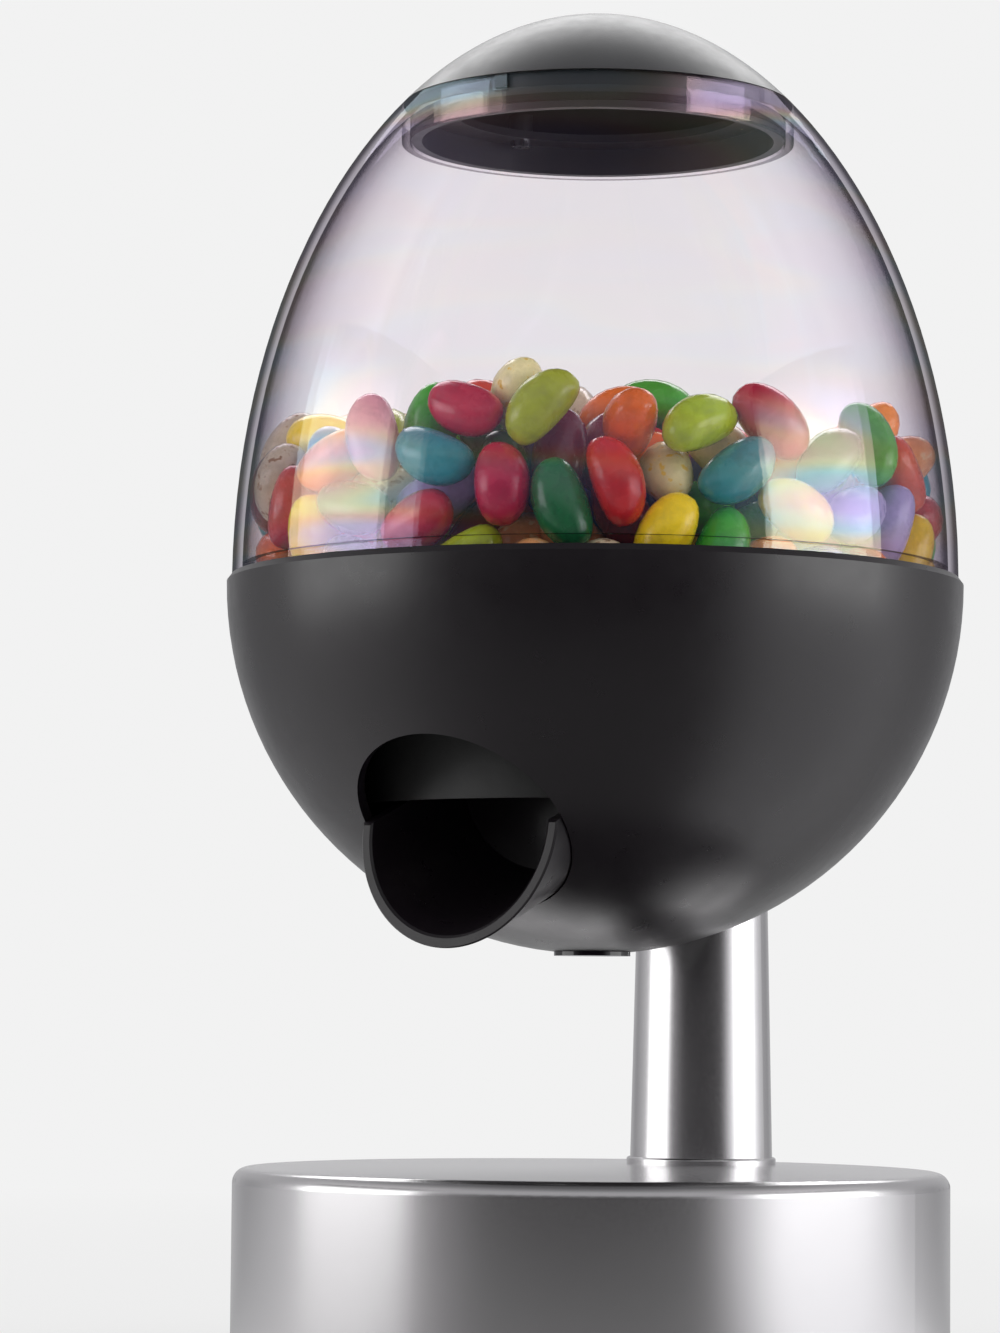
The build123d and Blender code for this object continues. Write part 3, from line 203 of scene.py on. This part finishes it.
# Moulded plastics: colour, roughness, scale and depth of the grain, and what else differs
MOULDED = {
    "black_shell": ((0.007, 0.005, 0.007), 0.3, 2600, 0.000008, {"specular": 0.55}),
    "dark_lid": ((0.03, 0.03, 0.033), 0.36, 2600, 0.000012, {"specular": 0.6}),
    "black_plastic": ((0.02, 0.02, 0.02), 0.55, 900, 0.00004, {}),
    "dark_plastic": ((0.012, 0.012, 0.014), 0.3, 1800, 0.00001, {}),
    "rubber": ((0.015, 0.015, 0.015), 0.75, 1400, 0.00005, {"specular": 0.3}),
    "gear_plastic": ((0.72, 0.7, 0.63), 0.4, 900, 0.00002, {"variation": 0.05}),
    "cell_jacket": ((0.03, 0.035, 0.05), 0.3, 700, 0.00001, {}),
    "window": ((0.006, 0.004, 0.007), 0.08, 900, 0.000003, {}),
}

# Worked metals: colour, roughness, and stretch, scale and depth of the lines
METALS = {
    "polished_steel": ((0.62, 0.61, 0.62), 0.22, (1, 1, 1), 1800, 0.0000002),
    "steel": ((0.5, 0.5, 0.52), 0.28, (1, 1, 0.2), 500, 0.000004),
    "contact_metal": ((0.72, 0.55, 0.28), 0.25, (0.3, 1, 1), 500, 0.000004),
}

# Pale rainbow of the dome's reflections, along its noise
DOME_SHEEN = [
    (0.34, (0.68, 0.62, 1.0)),
    (0.42, (0.6, 0.92, 1.0)),
    (0.48, (1.0, 0.97, 0.66)),
    (0.54, (1.0, 0.66, 0.62)),
    (0.62, (0.8, 0.68, 1.0)),
]

# What the dome's wall lets through, from faced (0) to seen edge on (1)
DOME_SHADE = [
    (0.0, (1.0, 0.992, 1.0)),
    (0.3, (0.995, 0.982, 0.995)),
    (0.5, (0.95, 0.935, 0.955)),
    (0.62, (0.87, 0.85, 0.875)),
    (0.79, (0.62, 0.6, 0.63)),
    (0.87, (0.2, 0.19, 0.2)),
    (1.0, (0.02, 0.02, 0.02)),
]

# Share of mirror in the dome's wall: the least, what is added edge on, and how late that comes
DOME_MIRROR = 0.04
DOME_EDGE_MIRROR = 0.12
DOME_MIRROR_POWER = 4.0


def moulded(name, colour, roughness, grain_scale, grain_depth, variation=0.12, specular=0.5):
    """Moulded plastic: a fine even grain, faint clouding in the colour and handling marks in the gloss."""
    material, tree, shader = new_material(name)
    tree.links.new(clouded(tree, PLASTIC_CLOUD_SCALE, 4, colour, variation), shader.inputs["Base Color"])
    marks = noise(tree, HANDLING_SCALE, detail=5, roughness=0.65)
    tree.links.new(spread(tree, marks, roughness * 0.88, roughness * 1.12), shader.inputs["Roughness"])
    bump(tree, shader, noise(tree, grain_scale, detail=2), grain_depth)
    shader.inputs["Specular IOR Level"].default_value = specular
    return material


def metal(name, colour, roughness, stretch, scale, depth):
    """Worked metal: fine lines along the stretched axis, and small changes in the polish."""
    material, tree, shader = new_material(name)
    shader.inputs["Metallic"].default_value = 1.0
    tree.links.new(clouded(tree, METAL_CLOUD_SCALE, 3, colour, METAL_VARIATION), shader.inputs["Base Color"])
    lines = noise(tree, scale, detail=2, stretch=stretch)
    tree.links.new(spread(tree, lines, roughness * 0.93, roughness * 1.08), shader.inputs["Roughness"])
    bump(tree, shader, lines, depth, strength=0.3)
    return material


def clear_plastic():
    """Clear moulded plastic wall: see-through when faced, darker and more mirror-like at a glance."""
    material, tree, shader = new_material("clear_plastic")
    shader.inputs["Metallic"].default_value = 1.0
    sheen = ramp(tree, noise(tree, 34, detail=1, stretch=(0.4, 0.4, 2.0)), DOME_SHEEN)
    tree.links.new(sheen, shader.inputs["Base Color"])
    marks = noise(tree, 90, detail=4)
    tree.links.new(spread(tree, marks, 0.015, 0.035), shader.inputs["Roughness"])
    bump(tree, shader, noise(tree, 14, detail=1), 0.0001, strength=0.2)
    window = node(tree, "ShaderNodeBsdfTransparent")
    facing = node(tree, "ShaderNodeLayerWeight", Blend=0.5).outputs["Facing"]
    tree.links.new(ramp(tree, facing, DOME_SHADE), window.inputs["Color"])
    edge = maths(tree, "POWER", facing, DOME_MIRROR_POWER)
    mirror = maths(tree, "MULTIPLY_ADD", edge, DOME_EDGE_MIRROR, DOME_MIRROR)
    wall = mix_shaders(tree, mirror, window.outputs["BSDF"], shader.outputs["BSDF"])
    tree.links.new(wall, tree.nodes["Material Output"].inputs["Surface"])
    return material


def bean_material(name, colour, speckle=None):
    """Glazed sugar shell: soft mottling, a little light through it, and specks on some kinds."""
    material, tree, shader = new_material(name)
    mottle = noise(tree, 260, detail=5, roughness=0.6)
    base = ramp(tree, mottle, [(0.28, tint(colour, 0.78)), (0.5, colour), (0.74, tint(colour, 1.15))])
    island = node(tree, "ShaderNodeNewGeometry").outputs["Random Per Island"]
    shifted = node(tree, "ShaderNodeHueSaturation", Saturation=1.0)
    tree.links.new(spread(tree, island, 0.485, 0.515, source=FULL_RANGE), shifted.inputs["Hue"])
    tree.links.new(spread(tree, island, 0.8, 1.15, source=FULL_RANGE), shifted.inputs["Value"])
    tree.links.new(base, shifted.inputs["Color"])
    colours = shifted.outputs["Color"]
    if speckle:
        spots = noise(tree, 520, detail=2, roughness=0.5)
        colours = between(tree, spread(tree, spots, 0, 1, source=(0.58, 0.66)), colours, speckle)
    tree.links.new(colours, shader.inputs["Base Color"])
    tree.links.new(spread(tree, mottle, 0.2, 0.34), shader.inputs["Roughness"])
    bump(tree, shader, noise(tree, 420, detail=3), 0.00006)
    shader.inputs["Specular IOR Level"].default_value = 0.3
    shader.inputs["Subsurface Weight"].default_value = 0.08
    shader.inputs["Subsurface Radius"].default_value = (0.003, 0.002, 0.0015)
    shader.inputs["Coat Weight"].default_value = 0.5
    shader.inputs["Coat Roughness"].default_value = 0.07
    return material


def circuit_board():
    """Green lacquered board with faint copper tracks."""
    material, tree, shader = new_material("circuit_board")
    tracks = node(tree, "ShaderNodeTexBrick", Scale=260)
    tree.links.new(coordinates(tree), tracks.inputs["Vector"])
    tracks.inputs["Color1"].default_value = (0.01, 0.13, 0.05, 1)
    tracks.inputs["Color2"].default_value = (0.012, 0.17, 0.07, 1)
    tracks.inputs["Mortar"].default_value = (0.04, 0.3, 0.12, 1)
    tree.links.new(tracks.outputs["Color"], shader.inputs["Base Color"])
    tree.links.new(spread(tree, noise(tree, 120), 0.25, 0.4), shader.inputs["Roughness"])
    bump(tree, shader, tracks.outputs["Fac"], 0.00003)
    return material


def dress_nodes():
    """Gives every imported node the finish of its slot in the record."""
    finishes = {
        "clear_plastic": clear_plastic(),
        "circuit_board": circuit_board(),
        "candy": bean_material("candy", (0.5, 0.15, 0.08)),
    }
    for name, (colour, roughness, scale, depth, extra) in MOULDED.items():
        finishes[name] = moulded(name, colour, roughness, scale, depth, **extra)
    for name, settings in METALS.items():
        finishes[name] = metal(name, *settings)
    for part in frame["record"]["subparts"]:
        target = nodes[part["node"]]
        target.data.materials.clear()
        target.data.materials.append(finishes[part["material_slot"]])


# Jelly beans

BEAN_LENGTH = 0.0168
BEAN_WIDTH = 0.0106
BEAN_FLATNESS = 0.94
BEAN_FULLNESS = 0.82
BEAN_BEND = 0.0011
BEAN_SINK = 0.0005
LENGTH_SPREAD = 0.05
HEIGHT_SPREAD = 0.02
SIZE_LIMITS = (0.92, 1.04)
BEAN_SEED = 5
WELD_DISTANCE = 0.00001

# Name, colour, colour of the specks, and share of the heap
BEAN_KINDS = [
    ("red", (0.52, 0.004, 0.008), None, 11),
    ("maroon", (0.17, 0.003, 0.010), None, 9),
    ("green", (0.045, 0.32, 0.012), None, 7),
    ("dark_green", (0.004, 0.11, 0.022), None, 8),
    ("lime", (0.38, 0.50, 0.006), None, 6),
    ("yellow", (0.85, 0.55, 0.004), None, 8),
    ("orange", (0.82, 0.17, 0.003), None, 9),
    ("cream_yellow", (0.78, 0.68, 0.36), (0.72, 0.48, 0.04), 7),
    ("cream_brown", (0.74, 0.60, 0.42), (0.30, 0.13, 0.05), 7),
    ("mauve", (0.46, 0.13, 0.24), None, 6),
    ("teal", (0.006, 0.22, 0.26), None, 6),
    ("blue", (0.004, 0.04, 0.24), None, 6),
    ("lavender", (0.36, 0.27, 0.55), None, 5),
    ("peach", (0.78, 0.32, 0.15), (0.80, 0.52, 0.30), 5),
]


def loose_pieces(target):
    """Points of each separate solid in a node's mesh, as one array of corners for each."""
    work = bmesh.new()
    work.from_mesh(target.data)
    bmesh.ops.remove_doubles(work, verts=work.verts, dist=WELD_DISTANCE)
    work.verts.ensure_lookup_table()
    waiting = set(range(len(work.verts)))
    pieces = []
    while waiting:
        start = min(waiting)
        waiting.discard(start)
        reached = [start]
        for index in reached:
            for edge in work.verts[index].link_edges:
                other = edge.other_vert(work.verts[index]).index
                if other in waiting:
                    waiting.discard(other)
                    reached.append(other)
        pieces.append(np.array([work.verts[index].co for index in reached]))
    work.free()
    return pieces


def bean_places():
    """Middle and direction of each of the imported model's beans."""
    places = []
    for corners in loose_pieces(nodes["candy_fill"]):
        middle = (corners.min(0) + corners.max(0)) / 2
        spread_out = corners - middle
        along = np.linalg.svd(spread_out - spread_out.mean(0), full_matrices=False)[2][0]
        reach = spread_out @ along
        places.append((middle + along * (reach.max() + reach.min()) / 2, along))
    return places


def bean_shape(around_count=14, along_count=12):
    """A slightly bent and flattened, plump bean along X, as points and faces."""
    points = [(-BEAN_LENGTH / 2, 0, 0)]
    for ring_index in range(1, along_count):
        slope = pi * ring_index / along_count
        along = -cos(slope) * BEAN_LENGTH / 2
        radius = sin(slope) ** BEAN_FULLNESS * BEAN_WIDTH / 2
        for step in range(around_count):
            turn = 2 * pi * step / around_count
            points.append((along, radius * cos(turn), radius * BEAN_FLATNESS * sin(turn)))
    points.append((BEAN_LENGTH / 2, 0, 0))
    shape = np.array(points)
    shape[:, 2] += BEAN_BEND * (1 - (shape[:, 0] / (BEAN_LENGTH / 2)) ** 2) - BEAN_SINK
    faces = [(0, 1 + (step + 1) % around_count, 1 + step) for step in range(around_count)]
    for ring_index in range(along_count - 2):
        start = 1 + ring_index * around_count
        following = start + around_count
        for step in range(around_count):
            after = (step + 1) % around_count
            faces.append((start + step, start + after, following + after, following + step))
    last = len(points) - 1
    start = last - around_count
    faces += [(last, start + step, start + (step + 1) % around_count) for step in range(around_count)]
    return shape, faces


def mesh_object(name, points, faces, body, material):
    """A smooth-shaded object that rides a body in a slot."""
    mesh = bpy.data.meshes.new(name)
    mesh.from_pydata([tuple(p) for p in points], [], [tuple(f) for f in faces])
    mesh.update()
    mesh.polygons.foreach_set("use_smooth", [True] * len(mesh.polygons))
    made = bpy.data.objects.new(name, mesh)
    bpy.context.scene.collection.objects.link(made)
    made.data.materials.append(material)
    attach(made, body)
    return made


def build_beans():
    """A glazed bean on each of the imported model's beans, in one object for each kind."""
    places = bean_places()
    chance = np.random.default_rng(BEAN_SEED)
    shares = np.array([kind[3] for kind in BEAN_KINDS], float)
    kinds = chance.choice(len(BEAN_KINDS), len(places), p=shares / shares.sum())
    shape, faces = bean_shape()
    for kind_index, (kind, colour, speckle, _) in enumerate(BEAN_KINDS):
        points, polygons = [], []
        for index in np.nonzero(kinds == kind_index)[0]:
            middle, along = places[index]
            turn = Vector(along).to_track_quat("X", "Z").to_matrix()
            turn = turn @ Matrix.Rotation(chance.random() * 2 * pi, 3, "X")
            length = 1 + LENGTH_SPREAD * chance.normal()
            height = 1 + HEIGHT_SPREAD * chance.normal()
            size = np.array((length, 1, height)).clip(*SIZE_LIMITS)
            offset = len(points)
            points.extend((shape * size) @ np.array(turn).T + middle)
            polygons.extend(tuple(corner + offset for corner in face) for face in faces)
        material = bean_material("bean_" + kind, colour, speckle)
        mesh_object("beans_" + kind, points, polygons, "housing", material)
    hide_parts("candy_fill")


# Studio. Lights stand at azimuths from the camera's own.

PALE = (0.887, 0.887, 0.887)
LEFT_LIGHT = -80
RIGHT_LIGHT = 77
BACK_LIGHT = 180
LEFT_GLOW_SHIFT = -8
SIDE_ELEVATION = 12
PANEL_AIM_HEIGHT = 0.16
LAMP_AIM_HEIGHT = 0.14

FLOOR_SIZE = 60.0
FLOOR_COLOUR = (0.86, 0.86, 0.86, 1)
FLOOR_ROUGHNESS = 0.8
# Share of plain background in the floor's look, at the foot and far from it, and where each is reached
FLOOR_GLOW = (0.7, 1.0)
FLOOR_GLOW_REACH = (0.15, 0.9)

# World light on matt surfaces, as a share of the background's
MATT_WORLD_SHARE = 0.6

# What glossy surfaces see on the horizon, from behind the object (0) to the camera's side (1)
HORIZON = [
    (0.0, (0.55, 0.55, 0.56)),
    (0.12, (0.35, 0.35, 0.36)),
    (0.3, (0.6, 0.6, 0.61)),
    (0.5, (0.8, 0.79, 0.8)),
    (0.7, (0.65, 0.64, 0.65)),
    (0.83, (0.25, 0.24, 0.25)),
    (0.93, (0.05, 0.048, 0.05)),
    (1.0, (0.02, 0.018, 0.02)),
]
RIGHT_LOBE = (1.25, 1.25, 1.28)
RIGHT_LOBE_EDGES = (0.72, 0.98)
ABOVE_FRONT = (0.5, 0.5, 0.51)
ABOVE_FRONT_EDGES = (0.1, 0.36)
DIM_TOP = (0.12, 0.12, 0.125)
DIM_TOP_EDGES = (0.55, 1.0)


def flat_sheet(name, width, height):
    """One rectangle about the origin, facing up."""
    x, y = width / 2, height / 2
    mesh = bpy.data.meshes.new(name)
    mesh.from_pydata([(-x, -y, 0), (x, -y, 0), (x, y, 0), (-x, y, 0)], [], [(0, 1, 2, 3)])
    sheet = bpy.data.objects.new(name, mesh)
    bpy.context.scene.collection.objects.link(sheet)
    return sheet


def aim_at_object(thing, azimuth, elevation, distance, aim_height, front):
    """Stands a panel or lamp off the object's axis, its front axis towards that height on it."""
    turn = radians(azimuth)
    rise = radians(elevation)
    centre = Vector((0, 0, aim_height))
    place = centre + distance * Vector((sin(turn) * cos(rise), -cos(turn) * cos(rise), sin(rise)))
    thing.location = place
    thing.rotation_euler = (centre - place).to_track_quat(front, "Y").to_euler()


def glow_material(name, height, strength, fade, see_through):
    """Emission that starts dark at a panel's upper edge and is full after a share of its height."""
    material = bpy.data.materials.new(name)
    material.use_nodes = True
    tree = material.node_tree
    tree.nodes.clear()
    output = node(tree, "ShaderNodeOutputMaterial")
    glow = node(tree, "ShaderNodeEmission")
    parts = node(tree, "ShaderNodeSeparateXYZ")
    tree.links.new(node(tree, "ShaderNodeTexCoord").outputs["Object"], parts.inputs["Vector"])
    edges = (height / 2, height / 2 - height * fade)
    level = spread(tree, parts.outputs["Y"], 0, strength, source=edges, smooth=True)
    tree.links.new(level, glow.inputs["Strength"])
    shining = glow.outputs["Emission"]
    if see_through:
        both = node(tree, "ShaderNodeAddShader")
        tree.links.new(shining, both.inputs[0])
        tree.links.new(node(tree, "ShaderNodeBsdfTransparent").outputs["BSDF"], both.inputs[1])
        shining = both.outputs["Shader"]
    tree.links.new(shining, output.inputs["Surface"])
    return material


def softbox(name, azimuth, elevation, distance, width, height, strength, fade, see_through=False):
    """A glowing panel that faces the object. The camera doesn't see it, and it casts no shadow."""
    panel = flat_sheet(name, width, height)
    aim_at_object(panel, azimuth, elevation, distance, PANEL_AIM_HEIGHT, "Z")
    panel.data.materials.append(glow_material(name, height, strength, fade, see_through))
    panel.visible_camera = False
    panel.visible_shadow = False
    return panel


def shine_on(panel, name):
    """Lets a panel show only in one node's surface."""
    chosen = bpy.data.collections.new(panel.name + "_target")
    chosen.objects.link(nodes[name])
    panel.light_linking.receiver_collection = chosen


def area_light(name, azimuth, elevation, distance, size, power):
    """A rectangular lamp that neither the camera nor glossy surfaces see."""
    data = bpy.data.lights.new(name, "AREA")
    data.shape = "RECTANGLE"
    data.size, data.size_y = size
    data.energy = power
    light = bpy.data.objects.new(name, data)
    bpy.context.scene.collection.objects.link(light)
    aim_at_object(light, azimuth, elevation, distance, LAMP_AIM_HEIGHT, "-Z")
    light.visible_camera = False
    light.visible_glossy = False


def points_to(tree, direction, azimuth):
    """How far a direction points to an azimuth: 1 straight to it, -1 straight away."""
    turn = radians(azimuth)
    made = node(tree, "ShaderNodeVectorMath", operation="DOT_PRODUCT")
    made.inputs[1].default_value = (sin(turn), -cos(turn), 0)
    tree.links.new(direction, made.inputs[0])
    return made.outputs["Value"]


def surround_shade(tree, direction):
    """What glossy surfaces see in a direction: a dark front, bright sides and back, and a dim top."""
    unit = node(tree, "ShaderNodeVectorMath", operation="NORMALIZE")
    tree.links.new(direction, unit.inputs[0])
    unit = unit.outputs["Vector"]
    parts = node(tree, "ShaderNodeSeparateXYZ")
    tree.links.new(unit, parts.inputs["Vector"])
    rise = parts.outputs["Z"]
    front = spread(tree, points_to(tree, unit, EYE_AZIMUTH), 0, 1, source=(-1, 1))
    shade = ramp(tree, front, HORIZON)
    rightwards = points_to(tree, unit, EYE_AZIMUTH + RIGHT_LIGHT)
    lobe = spread(tree, rightwards, 0, 1, source=RIGHT_LOBE_EDGES, smooth=True)
    shade = between(tree, lobe, shade, RIGHT_LOBE)
    above = spread(tree, rise, 0, 1, source=ABOVE_FRONT_EDGES, smooth=True)
    shade = between(tree, above, shade, ABOVE_FRONT, blend="LIGHTEN")
    top = spread(tree, rise, 0, 1, source=DIM_TOP_EDGES, smooth=True)
    return between(tree, top, shade, DIM_TOP)


def build_world():
    """A pale surround. Glossy surfaces see the studio's darker front and top instead."""
    world = bpy.data.worlds.new("studio")
    bpy.context.scene.world = world
    world.use_nodes = True
    tree = world.node_tree
    tree.nodes.clear()
    output = node(tree, "ShaderNodeOutputWorld")
    background = node(tree, "ShaderNodeBackground")
    path = node(tree, "ShaderNodeLightPath")
    shade = surround_shade(tree, node(tree, "ShaderNodeTexCoord").outputs["Generated"])
    seen = between(tree, path.outputs["Is Glossy Ray"], PALE, shade)
    tree.links.new(seen, background.inputs["Color"])
    level = spread(tree, path.outputs["Is Diffuse Ray"], 1.0, MATT_WORLD_SHARE, source=FULL_RANGE)
    tree.links.new(level, background.inputs["Strength"])
    tree.links.new(background.outputs["Background"], output.inputs["Surface"])


def build_floor():
    """A pale floor that takes the object's shadow and runs into the surround."""
    floor = flat_sheet("floor", FLOOR_SIZE, FLOOR_SIZE)
    material, tree, shader = new_material("floor")
    shader.inputs["Base Color"].default_value = FLOOR_COLOUR
    shader.inputs["Roughness"].default_value = FLOOR_ROUGHNESS
    shader.inputs["Specular IOR Level"].default_value = 0.0
    glow = node(tree, "ShaderNodeEmission")
    path = node(tree, "ShaderNodeLightPath")
    place = node(tree, "ShaderNodeTexCoord").outputs["Object"]
    seen = between(tree, path.outputs["Is Glossy Ray"], PALE, surround_shade(tree, place))
    tree.links.new(seen, glow.inputs["Color"])
    away = node(tree, "ShaderNodeVectorMath", operation="LENGTH")
    tree.links.new(place, away.inputs[0])
    fade = spread(tree, away.outputs["Value"], *FLOOR_GLOW, source=FLOOR_GLOW_REACH)
    views = maths(tree, "MAXIMUM", path.outputs["Is Camera Ray"], path.outputs["Is Glossy Ray"])
    share = maths(tree, "MULTIPLY", views, fade)
    surface = mix_shaders(tree, share, shader.outputs["BSDF"], glow.outputs["Emission"])
    tree.links.new(surface, tree.nodes["Material Output"].inputs["Surface"])
    floor.data.materials.append(material)


bpy.context.scene.view_settings.view_transform = "Standard"
build_camera()
build_world()
build_floor()
softbox(
    "softbox_left", EYE_AZIMUTH + LEFT_LIGHT, SIDE_ELEVATION,
    distance=1.5, width=1.25, height=0.95, strength=2.8, fade=0.6,
)
softbox(
    "softbox_right", EYE_AZIMUTH + RIGHT_LIGHT, SIDE_ELEVATION,
    distance=1.5, width=1.2, height=0.85, strength=3.4, fade=0.6,
)
back = softbox(
    "softbox_back", EYE_AZIMUTH + BACK_LIGHT, elevation=50,
    distance=1.6, width=1.6, height=1.1, strength=3.4, fade=0.5,
)
back.visible_diffuse = False
area_light("overhead", EYE_AZIMUTH, elevation=80, distance=1.6, size=(1.2, 1.2), power=10)
dress_nodes()
build_beans()
for side, light in (("left", LEFT_LIGHT + LEFT_GLOW_SHIFT), ("right", RIGHT_LIGHT)):
    panel = softbox(
        "dome_glow_" + side, EYE_AZIMUTH + light, SIDE_ELEVATION,
        distance=1.45, width=1.15, height=0.9, strength=5.0, fade=0.45, see_through=True,
    )
    panel.visible_diffuse = False
    shine_on(panel, "clear_dome")
